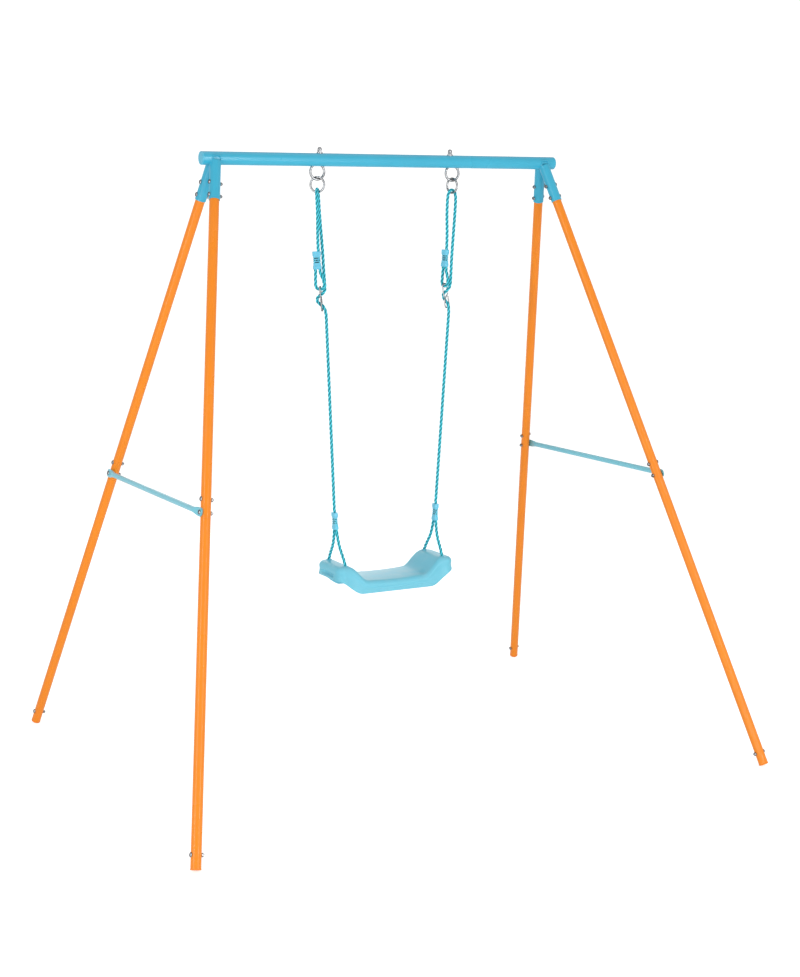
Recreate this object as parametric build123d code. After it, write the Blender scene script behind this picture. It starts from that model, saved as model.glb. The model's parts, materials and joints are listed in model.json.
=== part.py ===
from build123d import *
import math
import os

# ---------------------------------------------------------------------------
# A single garden swing: a blue beam on two orange A-frames, with one moulded
# seat on two twisted ropes.  Millimetres, +Z up, the origin on the ground
# under the middle of the beam.  X runs along the beam, -Y is the front.
# ---------------------------------------------------------------------------

# Frame
beam_height = 1786.0          # beam axis above the ground
beam_length = 1168.0
beam_dia = 38.0
beam_wall = 1.5
leg_top_x = 541.6             # where the leg axes cross the beam's height
leg_top_y = 7.0
foot_x = 906.0
foot_y = 717.0
leg_dia = 28.0
leg_wall = 1.2
socket_dia = 32.0
socket_bore = 28.6
socket_end = 127.0            # along the leg from the beam axis
socket_bolt_stations = (75.0, 113.0)
joint_bolt_stations = (988.0, 1025.0)
leg_start = 45.0
leg_seam = 1041.0
spigot_length = 78.0          # reduced end of the lower leg, inside the upper one
foot_bolt_lift = 38.0
foot_cap_thickness = 4.0
foot_cap_dia = 28.8
foot_cap_edge = 2.0
cap_plug_length = 20.0
cap_plug_wall = 2.5
plug_gap = 0.1                # all round, between a plug or spigot and its bore
beam_cap_edge = 2.5
swage = 4.0                   # solid shoulder where the lower leg steps down

# Fasteners of the frame
bolt_dia = 6.0
bolt_hole = 6.4
bolt_head_dia = 13.0
bolt_head_height = 4.2
bolt_head_rim = 0.8
nut_flats = 10.0
nut_height = 5.0
thread_past_nut = 2.5
touch = 0.05                  # hairline between pieces that bear on each other

# Side braces
brace_dia = 16.0
brace_wall = 1.2
brace_tab_width = 24.5
brace_tab_thickness = 3.4
brace_tab_slit = 1.0
brace_flat = 16.0             # flat tab inboard of its bolt
brace_taper = 30.0            # from the flat tab to the full round

# Hangers
eye_span = 448.0              # between the middles of the two eyes
eye_radius = 22.0             # to the middle of the rod
eye_rod = 7.0
eye_drop = 34.0               # middle of the eye under the beam axis
shank_offset = 8.0            # the shank stands this far inboard of the eye's middle
washer_dia = 17.0
washer_height = 2.5
cap_nut_flats = 13.0
cap_nut_height = 15.0
ring_radius = 21.5
ring_rod = 6.0
shank_clearance = 0.5
slot_clearance = 1.2          # at each end of the eye's slot under the beam
link_gap = 0.3
ring_turns = {-1: -48.0, 1: -76.0}    # how each ring's plane is turned from the beam's line
rope_turns = {-1: 56.0, 1: 14.0}      # how each rope's two strands are turned from it

# Ropes
rope_dia = 10.0
rope_over_ring = 8.6          # rope's middle above the middle of the ring's rod
strand_half_gap = 17.0        # the two strands under the ring, either side of its rod
strand_apart = -62.0          # they run side by side down to this level under the ring
ferrule_width = 24.5
ferrule_thickness = 14.5
ferrule_length = 52.0
ferrule_corner = 5.0
ferrule_edge = 1.2
ferrule_groove = 3.0
ferrule_groove_start = 18.0
ferrule_groove_depth = 1.2
ferrule_strand = 5.4          # each strand from the ferrule's middle
ferrule_strand_run = 8.0      # straight rope past a ferrule's end
upper_ferrule_x = -4.0        # upper ferrule beside the standing strand
upper_ferrule_y = 11.5
upper_ferrule_top = -170.0    # below the ring's rod, along the rope
ferrule_exit = 36.0           # where the strand above the ferrule starts to part
standing_x = 8.5
standing_y = -5.0
standing_foot = (8.0, -6.5, -276.0)
loop_middle = 6.3             # eye of the rope's end that holds the adjuster
loop_half_width = 12.7
loop_bottom = -280.0
knee_height = 746.0           # where the rope enters the lower ferrule
knee_gap = 0.7
bridle_split = -81.0          # where a bridle's two strands part, below the knee
bridle_run = 8.0              # straight rope above its hole
bridle_sag = 16.0             # below the seat's top

# Rope adjusters, flat S shapes of round wire
adjuster_wire = 4.0
adjuster_half_width = 8.5
adjuster_half_length = 37.0
adjuster_lean = 14.0
adjuster_bend = 5.0           # the two bends of the cross bar
adjuster_high = 4.0           # ends of the cross bar, from the middle
adjuster_low = -12.0
upper_weave = (0.0, 12.2)     # where the rope passes the upper and lower eye
lower_weave = (0.0, -20.3)
weave_side = 12.0             # rope either side of the adjuster's plane
weave_fall = 7.0              # half of its drop on the way through

# Seat
seat_length = 398.0
seat_width = 162.0
seat_height = 590.0           # top of the two wings
seat_wall = 3.5
seat_corner = 42.0
wing_depth = 32.0
wing_inner = 152.0            # where the wings start to fall towards the middle
dish_edge = 108.0
dish_depth = 43.0
dish_middle = 48.0
dish_round = 26.0
rim_height = 37.0
rim_round = 24.0
rim_beyond_dish = 22.0
rim_beyond_wing = 10.0
hollow_shift = 0.4            # share of the wall that the slopes move in by
hollow_opening = 30.0         # how far the inside runs out below
hole_x = 165.0
hole_y = 57.5
grommet_flange = 18.0
grommet_bore = 11.3
grommet_outer = 13.4
grommet_height = 1.5

SIDES = {"left": -1, "right": 1}
FACES = {"front": -1, "rear": 1}

leg_run = math.hypot(foot_x - leg_top_x, foot_y - leg_top_y)
leg_slope = math.atan2(leg_run, beam_height)
edge_lift = foot_cap_edge * (math.sin(leg_slope) + math.cos(leg_slope) - 1)
foot_lift = foot_cap_dia / 2 * math.sin(leg_slope) - edge_lift
leg_length = math.hypot(leg_run, beam_height - foot_lift)

eye_z = beam_height - eye_drop
eye_bottom = eye_z - eye_radius
ring_top = eye_bottom + (eye_rod + ring_rod) / 2 + link_gap
ring_z = ring_top - ring_radius
ring_bottom = ring_z - ring_radius
rope_lean = math.atan2(eye_span / 2 - hole_x, ring_bottom - seat_height)
rope_drop = (ring_bottom - knee_height) / math.cos(rope_lean)
hole_drop = (knee_height - seat_height) / math.cos(rope_lean)


def rod(diameter, start, end):
    """Solid round bar along local Z from start to end."""
    bar = Cylinder(diameter / 2, end - start, align=(Align.CENTER, Align.CENTER, Align.MIN))
    return Pos(0, 0, start) * bar


def tube(outer, inner, start, end):
    return rod(outer, start, end) - rod(inner, start - 1, end + 1)


def across(diameter, start, end):
    """Round bar along local X."""
    return Rot(0, 90, 0) * rod(diameter, start, end)


def leg_frame(side, face):
    """Z runs down the leg from the beam's height, X points outwards along its bolts."""
    top = Vector(side * leg_top_x, face * leg_top_y, beam_height)
    foot = Vector(side * foot_x, face * foot_y, foot_lift)
    down = (foot - top).normalized()
    out = Vector(-down.Z * side, 0, abs(down.X)).normalized()
    return Plane(origin=top, x_dir=out, z_dir=down)


def beam_bar(diameter, half_length):
    return Pos(0, 0, beam_height) * across(diameter, -half_length, half_length)


def top_beam():
    half = beam_length / 2 - foot_cap_thickness
    bore = beam_dia - 2 * beam_wall
    beam = beam_bar(beam_dia, half) - beam_bar(bore, half + 1)
    chord = math.sqrt((eye_radius + eye_rod / 2) ** 2 - (eye_drop - beam_dia / 2) ** 2)
    for side in SIDES.values():
        shank_x = side * (eye_span / 2 - shank_offset)
        beam -= Pos(shank_x, 0, beam_height) * rod(eye_rod + 2 * shank_clearance, 0, beam_dia)
        slot = Box(2 * (chord + slot_clearance), eye_rod + 2 * shank_clearance, beam_dia / 3)
        beam -= Pos(side * eye_span / 2, 0, beam_height - beam_dia / 2) * slot
    return beam


def beam_cap(side):
    plug_dia = beam_dia - 2 * (beam_wall + plug_gap)
    half = beam_length / 2
    inside = half - foot_cap_thickness
    flange = across(beam_dia, inside + touch, half)
    flange = fillet(flange.edges().filter_by(GeomType.CIRCLE).group_by(Axis.X)[-1], beam_cap_edge)
    plug = across(plug_dia, inside - cap_plug_length, inside + 1)
    plug -= across(plug_dia - 2 * cap_plug_wall, inside - cap_plug_length - 1, inside)
    cap = Pos(0, 0, beam_height) * (flange + plug)
    return cap if side > 0 else mirror(cap, Plane.YZ)


def leg_socket(side, face):
    frame = leg_frame(side, face)
    body = tube(socket_dia, socket_bore, 10, socket_end)
    for station in socket_bolt_stations:
        body -= Pos(0, 0, station) * across(bolt_hole, -socket_dia, socket_dia)
    body = frame * body
    body -= beam_bar(beam_dia + 2 * touch, beam_length)
    other_half = Box(400, 200, 400, align=(Align.CENTER, Align.MIN, Align.CENTER))
    other_half = Pos(side * leg_top_x, -touch, beam_height) * other_half
    if face > 0:
        other_half = mirror(other_half, Plane.XZ)
    return body - other_half


def upper_leg(side, face):
    leg = tube(leg_dia, leg_dia - 2 * leg_wall, leg_start, leg_seam)
    for station in socket_bolt_stations + joint_bolt_stations:
        leg -= Pos(0, 0, station) * across(bolt_hole, -leg_dia, leg_dia)
    return leg_frame(side, face) * leg


def lower_leg(side, face):
    bore = leg_dia - 2 * leg_wall
    spigot = bore - 4 * plug_gap
    start = leg_seam + link_gap
    leg = tube(leg_dia, bore, start, leg_length - foot_cap_thickness)
    leg += tube(spigot, spigot - 2 * leg_wall, leg_seam - spigot_length, start + swage)
    leg += tube(leg_dia, spigot - 2 * leg_wall, start, start + swage)
    for station in joint_bolt_stations:
        leg -= Pos(0, 0, station) * across(bolt_hole, -leg_dia, leg_dia)
    leg -= Pos(0, 0, leg_length - foot_bolt_lift) * across(bolt_hole, -leg_dia, leg_dia)
    return leg_frame(side, face) * leg


def foot_cap(side, face):
    inside = leg_length - foot_cap_thickness
    plug_dia = leg_dia - 2 * (leg_wall + plug_gap)
    flange = rod(foot_cap_dia, inside + touch, leg_length)
    flange = fillet(flange.edges().filter_by(GeomType.CIRCLE).group_by(Axis.Z)[-1], foot_cap_edge)
    plug = rod(plug_dia, inside - cap_plug_length, inside + 1)
    plug -= rod(plug_dia - 2 * cap_plug_wall, inside - cap_plug_length - 1, inside)
    return leg_frame(side, face) * (flange + plug)


def bolt(head_at, nut_at):
    """Domed bolt along local X: head outside, threaded end past the nut inside."""
    tail = -nut_at - nut_height - thread_past_nut
    rim = head_at + bolt_head_rim
    shank_edge = bolt_dia / 2
    head_edge = bolt_head_dia / 2
    stem = Polyline(
        (0, rim + bolt_head_height - bolt_head_rim),
        (0, tail),
        (shank_edge, tail),
        (shank_edge, head_at),
        (head_edge, head_at),
        (head_edge, rim),
    )
    dome_height = bolt_head_height - bolt_head_rim
    dome_radius = (head_edge ** 2 + dome_height ** 2) / (2 * dome_height)
    dome_centre = rim + dome_height - dome_radius
    half_angle = math.asin(head_edge / dome_radius) / 2
    shoulder = (dome_radius * math.sin(half_angle), dome_centre + dome_radius * math.cos(half_angle))
    dome = ThreePointArc((head_edge, rim), shoulder, (0, rim + dome_height))
    profile = Plane.XZ * make_face(stem + dome)
    return Rot(0, 90, 0) * revolve(profile, Axis.Z)


def nut(nut_at):
    body = extrude(RegularPolygon(nut_flats / 2, 6, major_radius=False), nut_height)
    body -= rod(bolt_dia + 0.1, -1, nut_height + 1)
    return Pos(-nut_at, 0, 0) * Rot(0, -90, 0) * body


def fasteners(stations, head_at, nut_at, piece):
    """The same bolt or nut at every listed station of all four legs."""
    made = []
    for side in SIDES.values():
        for face in FACES.values():
            for station, head in zip(stations, head_at):
                local = bolt(head, nut_at) if piece == "bolt" else nut(nut_at)
                made.append(leg_frame(side, face) * Pos(0, 0, station) * local)
    return Compound(children=made)


def brace_blank(tube_dia, tab_width, tab_thickness, half):
    """Round tube along Z whose two ends are pressed flat."""
    tab_start = half - brace_flat
    tab_length = 2 * brace_flat
    round_end = tab_start - brace_taper
    body = rod(tube_dia, -round_end, round_end)
    for end in (-1, 1):
        round_face = RectangleRounded(tube_dia, tube_dia, tube_dia / 2 - 0.01)
        tab_face = RectangleRounded(tab_thickness, tab_width, tab_thickness / 2 - 0.01)
        sections = [
            Plane.XY.offset(end * round_end) * round_face,
            Plane.XY.offset(end * tab_start) * tab_face,
        ]
        body += loft(sections)
        tab = extrude(tab_face, tab_length)
        body += Pos(0, 0, tab_start if end > 0 else -tab_start - tab_length) * tab
    return body


def side_brace(side):
    frame = leg_frame(side, 1)
    station = joint_bolt_stations[1]
    hole = frame.origin + frame.z_dir * station
    half = hole.Y
    brace = brace_blank(brace_dia, brace_tab_width, brace_tab_thickness, half)
    inner_width = brace_tab_width - 2 * brace_wall
    brace -= brace_blank(brace_dia - 2 * brace_wall, inner_width, brace_tab_slit, half)
    outline = extrude(SlotCenterToCenter(2 * half, brace_tab_width), brace_dia, both=True)
    brace &= Rot(0, 0, 90) * Rot(90, 0, 0) * Rot(0, 0, 90) * outline
    for end in (-1, 1):
        brace -= Pos(0, 0, end * half) * across(bolt_hole, -brace_dia, brace_dia)
    offset = leg_dia / 2 + touch + brace_tab_thickness / 2
    middle = Vector(hole.X, 0, hole.Z) + frame.x_dir * offset
    return Plane(origin=middle, x_dir=frame.x_dir, z_dir=(0, 1, 0)) * brace


def eye_bolt(side):
    middle = Vector(side * eye_span / 2, 0, eye_z)
    eye = Pos(middle) * Rot(90, 0, 0) * Torus(eye_radius, eye_rod / 2)
    shank_x = side * (eye_span / 2 - shank_offset)
    crown = eye_z + math.sqrt(eye_radius ** 2 - shank_offset ** 2)
    top = beam_height + beam_dia / 2 + washer_height + cap_nut_height * 0.6
    return eye + Pos(shank_x, 0, 0) * rod(eye_rod, crown, top)


def eye_washers():
    """Saddle washers that sit on the round top of the beam."""
    made = []
    top = beam_height + beam_dia / 2 + washer_height
    for side in SIDES.values():
        shank_x = side * (eye_span / 2 - shank_offset)
        washer = tube(washer_dia, eye_rod + shank_clearance, beam_height + beam_dia / 3, top)
        made.append(Pos(shank_x, 0, 0) * washer - beam_bar(beam_dia + 2 * touch, beam_length))
    return Compound(children=made)


def eye_nuts():
    """Domed cap nuts over the threaded ends of the eye bolts."""
    made = []
    base = beam_height + beam_dia / 2 + washer_height + touch
    hexagon_height = cap_nut_height * 0.45
    dome_radius = cap_nut_flats / 2 - 0.3
    for side in SIDES.values():
        body = extrude(RegularPolygon(cap_nut_flats / 2, 6, major_radius=False), hexagon_height)
        body += rod(2 * dome_radius, hexagon_height - 1, cap_nut_height - dome_radius)
        body += Pos(0, 0, cap_nut_height - dome_radius) * Sphere(dome_radius)
        body -= rod(eye_rod + 0.1, -8, cap_nut_height * 0.6 + 0.4)
        body &= rod(40, 0, cap_nut_height + 1)
        shank_x = side * (eye_span / 2 - shank_offset)
        made.append(Pos(shank_x, 0, base) * body)
    return Compound(children=made)


def hanger_ring(side):
    ring = Rot(0, 0, ring_turns[side]) * Rot(90, 0, 0) * Torus(ring_radius, ring_rod / 2)
    return Pos(side * eye_span / 2, 0, ring_z) * ring


def rope_frame(side, height, turn):
    """Z runs up the leaning rope from its crossing of the given height."""
    x = eye_span / 2 - (ring_bottom - height) * math.tan(rope_lean)
    up = Vector(side * math.sin(rope_lean), 0, math.cos(rope_lean))
    plane = Plane(origin=(side * x, 0, height), x_dir=(up.Z, 0, -up.X), z_dir=up)
    return plane.location * Rot(0, 0, turn)


def hanger_frame(side):
    return rope_frame(side, ring_bottom, rope_turns[side])


def adjuster_place(across_by=0, up_by=0):
    """A point of the adjuster's own plane, from its middle, in the hanger's frame."""
    lean = math.radians(adjuster_lean)
    reach = adjuster_half_length - (adjuster_wire + rope_dia) / 2 - link_gap
    down = reach - up_by
    x = upper_ferrule_x + down * math.sin(lean) + across_by * math.cos(lean)
    z = loop_bottom - down * math.cos(lean) + across_by * math.sin(lean)
    return Vector(x, loop_middle, z)


def weave(station, direction):
    """The two corners of the rope where it passes through one eye of the adjuster."""
    middle = adjuster_place(*station)
    before = middle - Vector(0, direction * weave_side, -weave_fall)
    after = middle + Vector(0, direction * weave_side, -weave_fall)
    return [tuple(before), tuple(after)]


def rope_route():
    """Hand-set corners of a main rope: ferrule, loop, ring, adjuster, knee."""
    foot = upper_ferrule_top - ferrule_length
    x = upper_ferrule_x
    outer = upper_ferrule_y + ferrule_strand
    inner = upper_ferrule_y - ferrule_strand
    loop_outer = loop_middle + loop_half_width
    loop_inner = loop_middle - loop_half_width
    shoulder = loop_bottom + 2 * loop_half_width
    return [
        (x, outer, upper_ferrule_top - ferrule_strand_run),
        (x, outer, foot - ferrule_strand_run),
        (x, loop_outer, shoulder),
        (x, loop_outer, loop_bottom),
        (x, loop_inner, loop_bottom),
        (x, loop_inner, shoulder),
        (x, inner, foot - ferrule_strand_run),
        (x, inner, upper_ferrule_top + ferrule_exit),
        (-strand_half_gap, 0, strand_apart),
        (-strand_half_gap, 0, rope_over_ring),
        (strand_half_gap, 0, rope_over_ring),
        (strand_half_gap, 0, strand_apart),
        (standing_x, standing_y, upper_ferrule_top),
        (standing_x, standing_y, foot - ferrule_strand_run),
        standing_foot,
        *weave(upper_weave, 1),
        *weave(lower_weave, -1),
        (0, 0, -rope_drop),
    ]


def bridle_route():
    """Hand-set corners of a bridle: down, under the seat and back up."""
    start = -rope_dia
    above = bridle_run - hole_drop
    under = -hole_drop - bridle_sag
    return [
        (0, -ferrule_strand, start),
        (0, -ferrule_strand, bridle_split),
        (0, -hole_y, above),
        (0, -hole_y, under),
        (0, hole_y, under),
        (0, hole_y, above),
        (0, ferrule_strand, bridle_split),
        (0, ferrule_strand, start),
    ]


def corner_radii(points):
    """0.45 of the shorter run beside each corner, over the tangent of half its turn."""
    radii = []
    for before, corner, after in zip(points, points[1:], points[2:]):
        incoming = Vector(*corner) - Vector(*before)
        outgoing = Vector(*after) - Vector(*corner)
        half_turn = math.radians(incoming.get_angle(outgoing)) / 2
        shorter = min(incoming.length, outgoing.length)
        radii.append(0.45 * shorter / math.tan(half_turn))
    return radii


def rope_tube(name, points):
    radii = corner_radii(points)
    path = FilletPolyline(*points, radius=radii)
    start = Plane(origin=path @ 0, z_dir=path % 0)
    made = sweep(start * Circle(rope_dia / 2), path=path, transition=Transition.ROUND)
    expected = math.pi * rope_dia ** 2 / 4 * path.length
    smallest = min(radii)
    print(f"{name}: length {path.length:.1f}, smallest radius {smallest:.1f},", end=" ")
    print(f"volume over section times length {made.volume / expected:.4f}")
    return made


def main_rope(side):
    rope = rope_tube("main rope", rope_route())
    rope += Pos(0, 0, -rope_drop) * Sphere(rope_dia / 2 - 0.02)
    return hanger_frame(side) * rope


def bridle_rope(side):
    return rope_frame(side, knee_height, 0) * rope_tube("bridle", bridle_route())


def ferrule():
    """Ribbed clamp along Z from 0 down, its two strands side by side along Y."""
    section = RectangleRounded(ferrule_thickness, ferrule_width, ferrule_corner)
    body = extrude(section, -ferrule_length)
    body = fillet(body.faces().sort_by(Axis.Z)[0].edges(), ferrule_edge)
    deep = ferrule_groove_depth
    waist = RectangleRounded(ferrule_thickness - 2 * deep, ferrule_width - 2 * deep, ferrule_corner - deep)
    around = Rectangle(2 * ferrule_width, 2 * ferrule_width)
    for groove in range(3):
        level = -ferrule_groove_start - 2 * ferrule_groove * groove
        body -= Pos(0, 0, level) * extrude(around - waist, -ferrule_groove)
    return body


def ferrule_bore(start, end):
    slot = SlotCenterToCenter(2 * ferrule_strand, rope_dia + 0.3)
    return Pos(0, 0, start) * extrude(Rot(0, 0, 90) * slot, end - start)


def upper_ferrule(side):
    clamp = ferrule() - ferrule_bore(-ferrule_length - 1, 1)
    return hanger_frame(side) * Pos(upper_ferrule_x, upper_ferrule_y, upper_ferrule_top) * clamp


def lower_ferrule(side):
    """Its top is a round cup that the end of the main rope rocks in."""
    clamp = ferrule() - ferrule_bore(-ferrule_length - 1, -9)
    clamp -= Sphere(rope_dia / 2 + knee_gap)
    return rope_frame(side, knee_height, 0) * clamp


def adjuster(side):
    """Flat S of round wire: two open eyes joined by a slanting cross bar."""
    u = adjuster_half_width
    w = adjuster_half_length
    points = [
        (-u, 0, -adjuster_high),
        (-u, 0, w),
        (u, 0, w),
        (u, 0, adjuster_high),
        (-u, 0, adjuster_low),
        (-u, 0, -w),
        (u, 0, -w),
        (u, 0, -adjuster_high),
    ]
    turn = u - 0.2
    path = FilletPolyline(*points, radius=[turn, turn, adjuster_bend, adjuster_bend, turn, turn])
    wire = sweep(Plane(origin=path @ 0, z_dir=path % 0) * Circle(adjuster_wire / 2), path=path)
    return hanger_frame(side) * Pos(adjuster_place()) * Rot(0, -adjuster_lean, 0) * wire


def seat_profile(inset):
    """Side view of the seat; the inset one is the hollow, open below."""
    end = seat_length / 2 - inset
    slope_top = wing_inner - inset * hollow_shift
    slope_foot = dish_edge - inset * hollow_shift
    below = hollow_opening if inset else 0
    half = [
        (0, -dish_middle - inset),
        (slope_foot, -dish_depth - inset),
        (slope_top, -inset),
        (end, -inset),
        (end, -wing_depth - below),
        (wing_inner + rim_beyond_wing, -wing_depth - below),
        (dish_edge + rim_beyond_dish, -dish_depth - rim_height - below),
        (0, -dish_middle - rim_height - below),
    ]
    left = [(-x, z) for x, z in reversed(half[1:-1])]
    profile = make_face(Polyline(*half, *left, close=True))
    slopes = (half[1], half[2])
    rims = (half[5], half[6])
    profile = fillet([v for v in profile.vertices() if stands_at(v, slopes)], dish_round)
    return fillet([v for v in profile.vertices() if stands_at(v, rims)], rim_round)


def stands_at(vertex, corners):
    """True at one of the given corners, on either half of the seat."""
    return any(math.hypot(abs(vertex.X) - x, vertex.Y - z) < touch for x, z in corners)


def seat_block(inset):
    body = extrude(Plane.XZ * seat_profile(inset), seat_width, both=True)
    plan = RectangleRounded(seat_length - 2 * inset, seat_width - 2 * inset, seat_corner - inset)
    return body & extrude(plan, 2 * seat_width, both=True)


def at_holes(piece):
    """The piece at each of the four rope holes, at the height of the wings."""
    return [Pos(x, y, seat_height) * piece for x in (-hole_x, hole_x) for y in (-hole_y, hole_y)]


def seat():
    shell = Pos(0, 0, seat_height) * (seat_block(0) - seat_block(seat_wall))
    for hole in at_holes(rod(grommet_outer + 2 * plug_gap, -2 * seat_wall, seat_wall)):
        shell -= hole
    return shell


def seat_grommets():
    eyelet = rod(grommet_flange, touch, grommet_height) + rod(grommet_outer, -seat_wall, 1)
    eyelet -= rod(grommet_bore, -rope_dia, rope_dia)
    return Compound(children=at_holes(eyelet))


def all_parts():
    parts = {"top_beam": top_beam(), "seat": seat(), "seat_grommets": seat_grommets()}
    for side_name, side in SIDES.items():
        parts[f"{side_name}_beam_cap"] = beam_cap(side)
        parts[f"{side_name}_side_brace"] = side_brace(side)
        parts[f"{side_name}_eye_bolt"] = eye_bolt(side)
        parts[f"{side_name}_hanger_ring"] = hanger_ring(side)
        parts[f"{side_name}_main_rope"] = main_rope(side)
        parts[f"{side_name}_upper_ferrule"] = upper_ferrule(side)
        parts[f"{side_name}_rope_adjuster"] = adjuster(side)
        parts[f"{side_name}_lower_ferrule"] = lower_ferrule(side)
        parts[f"{side_name}_bridle_rope"] = bridle_rope(side)
        for face_name, face in FACES.items():
            corner = f"{face_name}_{side_name}"
            parts[f"{corner}_socket"] = leg_socket(side, face)
            parts[f"{corner}_upper_leg"] = upper_leg(side, face)
            parts[f"{corner}_lower_leg"] = lower_leg(side, face)
            parts[f"{corner}_foot_cap"] = foot_cap(side, face)
    parts["eye_bolt_washers"] = eye_washers()
    parts["eye_bolt_nuts"] = eye_nuts()
    at_socket = socket_dia / 2 + touch
    at_leg = leg_dia / 2 + touch
    over_brace = at_leg + brace_tab_thickness + 2 * touch
    foot_station = (leg_length - foot_bolt_lift,)
    layouts = {
        "socket": (socket_bolt_stations, (at_socket, at_socket), at_socket),
        "leg_joint": (joint_bolt_stations, (at_leg, over_brace), at_leg),
        "foot": (foot_station, (at_leg,), at_leg),
    }
    for name, (stations, heads, nut_at) in layouts.items():
        parts[f"{name}_bolts"] = fasteners(stations, heads, nut_at, "bolt")
        parts[f"{name}_nuts"] = fasteners(stations, heads, nut_at, "nut")
    return parts


os.makedirs("parts", exist_ok=True)
for node, shape in all_parts().items():
    export_step(shape, f"parts/{node}.step")
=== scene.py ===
import json
import math

import bmesh
import bpy
import numpy as np
from mathutils import Matrix, Vector

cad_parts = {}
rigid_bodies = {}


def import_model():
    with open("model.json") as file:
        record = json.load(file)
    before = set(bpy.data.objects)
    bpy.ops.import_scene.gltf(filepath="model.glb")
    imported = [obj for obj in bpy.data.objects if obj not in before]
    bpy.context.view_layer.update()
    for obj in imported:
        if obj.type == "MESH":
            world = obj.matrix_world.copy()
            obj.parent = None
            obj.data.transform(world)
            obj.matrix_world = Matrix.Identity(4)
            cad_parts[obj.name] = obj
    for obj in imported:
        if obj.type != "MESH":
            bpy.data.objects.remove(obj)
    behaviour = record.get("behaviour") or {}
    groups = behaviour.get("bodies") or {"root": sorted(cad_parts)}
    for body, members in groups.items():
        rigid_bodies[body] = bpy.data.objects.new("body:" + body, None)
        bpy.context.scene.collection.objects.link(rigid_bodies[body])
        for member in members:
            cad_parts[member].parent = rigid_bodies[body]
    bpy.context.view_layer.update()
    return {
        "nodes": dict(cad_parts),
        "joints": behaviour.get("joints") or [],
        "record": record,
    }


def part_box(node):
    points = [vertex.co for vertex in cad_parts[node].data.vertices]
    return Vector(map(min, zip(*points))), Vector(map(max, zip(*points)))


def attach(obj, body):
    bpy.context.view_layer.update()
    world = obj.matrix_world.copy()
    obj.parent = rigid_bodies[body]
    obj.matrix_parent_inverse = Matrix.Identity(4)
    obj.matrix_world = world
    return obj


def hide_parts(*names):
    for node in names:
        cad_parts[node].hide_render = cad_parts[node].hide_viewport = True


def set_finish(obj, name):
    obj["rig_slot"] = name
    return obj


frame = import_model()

# ---------------------------------------------------------------------------
# A garden swing: blue beam, orange A-frames, moulded seat on twisted ropes.
# Metres, in the CAD frame: X along the beam, -Y the front, Z up.
# ---------------------------------------------------------------------------

joints = {joint["name"]: joint for joint in frame["joints"]}
SIDES = {"left": -1, "right": 1}
FACES = {"front": -1, "rear": 1}

ROPE_TURN = {"left": 56.0, "right": 14.0}     # plane of each rope's two strands, from the beam's line
ROPE_DIA = 0.010
ROPE_LAY = 0.043                              # one full turn of a strand
UV_SPAN = 1.5                                 # metres of rope to one unit of its map
STRANDS = 3
STRAND_SHARE = 0.238                          # strand radius over rope diameter

FERRULE_HALF = (0.00725, 0.01225)
FERRULE_LENGTH = 0.052
FERRULE_GROOVES = (0.018, 0.036)              # three grooves between these levels below the top
FERRULE_LEVELS = 131
FERRULE_CAP_ROWS = 5
UPPER_FERRULE = (-0.0040, 0.0115, -0.1700)    # its top's middle, beside the standing strand

SOCKET_RADIUS = 0.016
LEG_RADIUS = 0.014
FASTENER_GAP = 0.00005
BRACE_TAB = 0.00345                           # tab of a side brace under its bolt's head


# ---------------------------------------------------------------------------
# Camera
# ---------------------------------------------------------------------------

def make_camera():
    """A long lens a little below the beam's height, off the front left corner."""
    turn = math.radians(27.738)
    dip = math.radians(9.335)
    roll = math.radians(0.126)
    forward = Vector((math.sin(turn) * math.cos(dip), math.cos(turn) * math.cos(dip), -math.sin(dip)))
    level = Vector((math.cos(turn), -math.sin(turn), 0))
    rise = level.cross(forward)
    right = level * math.cos(roll) + rise * math.sin(roll)
    up = rise * math.cos(roll) - level * math.sin(roll)
    data = bpy.data.cameras.new("camera")
    data.lens = 63.52
    data.sensor_width = 36
    camera = bpy.data.objects.new("camera", data)
    bpy.context.scene.collection.objects.link(camera)
    turned = Matrix((right, up, -forward)).transposed().to_4x4()
    camera.matrix_world = Matrix.Translation((-2.3717, -4.6032, 1.657)) @ turned
    bpy.context.scene.camera = camera


make_camera()


# ---------------------------------------------------------------------------
# Mesh tools
# ---------------------------------------------------------------------------

def add_object(name, mesh, body, slot_name, *nodes):
    """Link a mesh as a piece that rides on a body and stands for its CAD nodes."""
    piece = bpy.data.objects.new(name, mesh)
    bpy.context.scene.collection.objects.link(piece)
    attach(piece, body)
    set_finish(piece, slot_name)
    if nodes:
        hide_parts(*nodes)
    return piece


def grid_arrays(rows, columns, start):
    """Quads of a rows by columns grid whose last column joins the first, and their map corners."""
    row, column = np.meshgrid(np.arange(rows - 1), np.arange(columns), indexing="ij")
    here, below = row * columns, (row + 1) * columns
    following = (column + 1) % columns
    quads = np.stack([here + column, here + following, below + following, below + column], axis=-1)
    quads = quads.reshape(-1, 4)
    u = np.stack([column, column + 1, column + 1, column], axis=-1).reshape(-1, 4) / columns
    v = np.stack([row, row, row + 1, row + 1], axis=-1).reshape(-1, 4) / (rows - 1)
    return quads + start, np.stack([u, v], axis=-1)


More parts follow.
